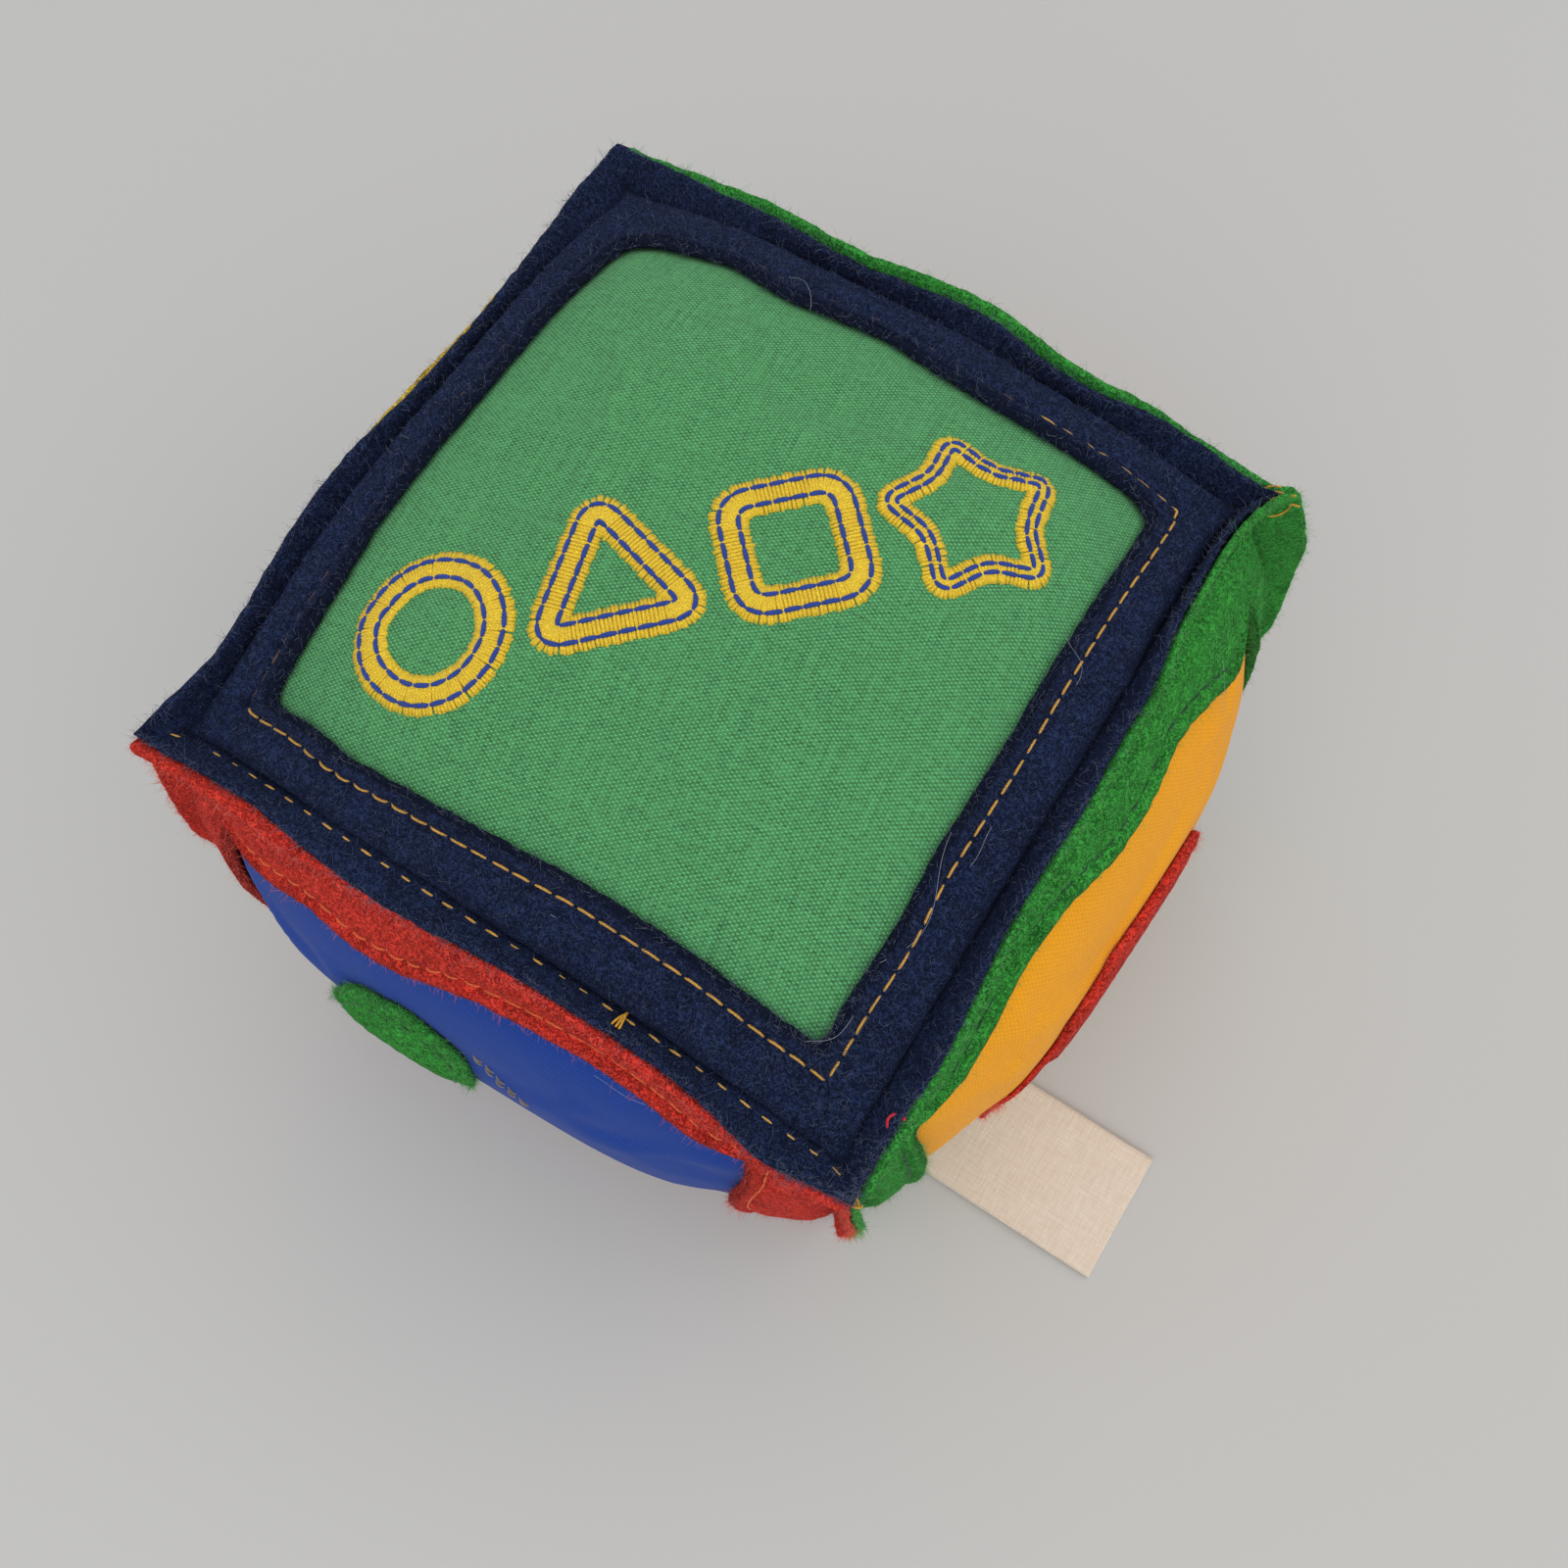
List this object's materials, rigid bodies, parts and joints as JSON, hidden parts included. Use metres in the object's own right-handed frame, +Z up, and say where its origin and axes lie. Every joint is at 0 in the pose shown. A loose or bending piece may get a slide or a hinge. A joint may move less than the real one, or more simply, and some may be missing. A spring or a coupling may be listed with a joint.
{
  "type": "soft fabric block",
  "caption": "Plump stuffed cloth cube for a baby: crowned panels in felt frames with raised raw-edged seams, felt shapes and a folded tape tag.",
  "frame": {"origin": "centre of the flat rest on the bottom panel, on the table", "axes": "+Z up out of the embroidered top, -Y out of the red and blue front, +X out of the green and yellow right side with the tag"},
  "size_m": [0.1887, 0.1556, 0.1394],
  "materials": {
    "fibre_fill": "loose polyester fibre fill",
    "navy_felt": "matt fuzzy felt",
    "red_felt": "matt fuzzy felt",
    "green_felt": "matt fuzzy felt",
    "yellow_felt": "matt fuzzy felt",
    "green_cotton": "plain-weave cotton",
    "blue_cloth": "smooth close-woven cloth",
    "yellow_cloth": "smooth close-woven cloth",
    "red_cloth": "smooth close-woven cloth",
    "cream_tape": "soft woven tape"
  },
  "bodies": {
    "block": {"stuffing": "fibre_fill", "top_frame": "navy_felt", "bottom_frame": "navy_felt", "front_frame": "red_felt", "right_frame": "green_felt", "back_frame": "green_felt", "left_frame": "yellow_felt", "top_panel": "green_cotton", "bottom_panel": "green_cotton", "front_panel": "blue_cloth", "right_panel": "yellow_cloth", "back_panel": "red_cloth", "left_panel": "blue_cloth", "front_applique": "green_felt", "right_applique": "red_felt"},
    "tag": {"tag": "cream_tape"}
  },
  "joints": [
    {"name": "tag_flap", "type": "hinge", "parent": "block", "child": "tag", "pos_m": [0.0624, -0.0295, 0.0004], "axis": [0, -1, 0], "range_deg": [0, 68]}
  ]
}
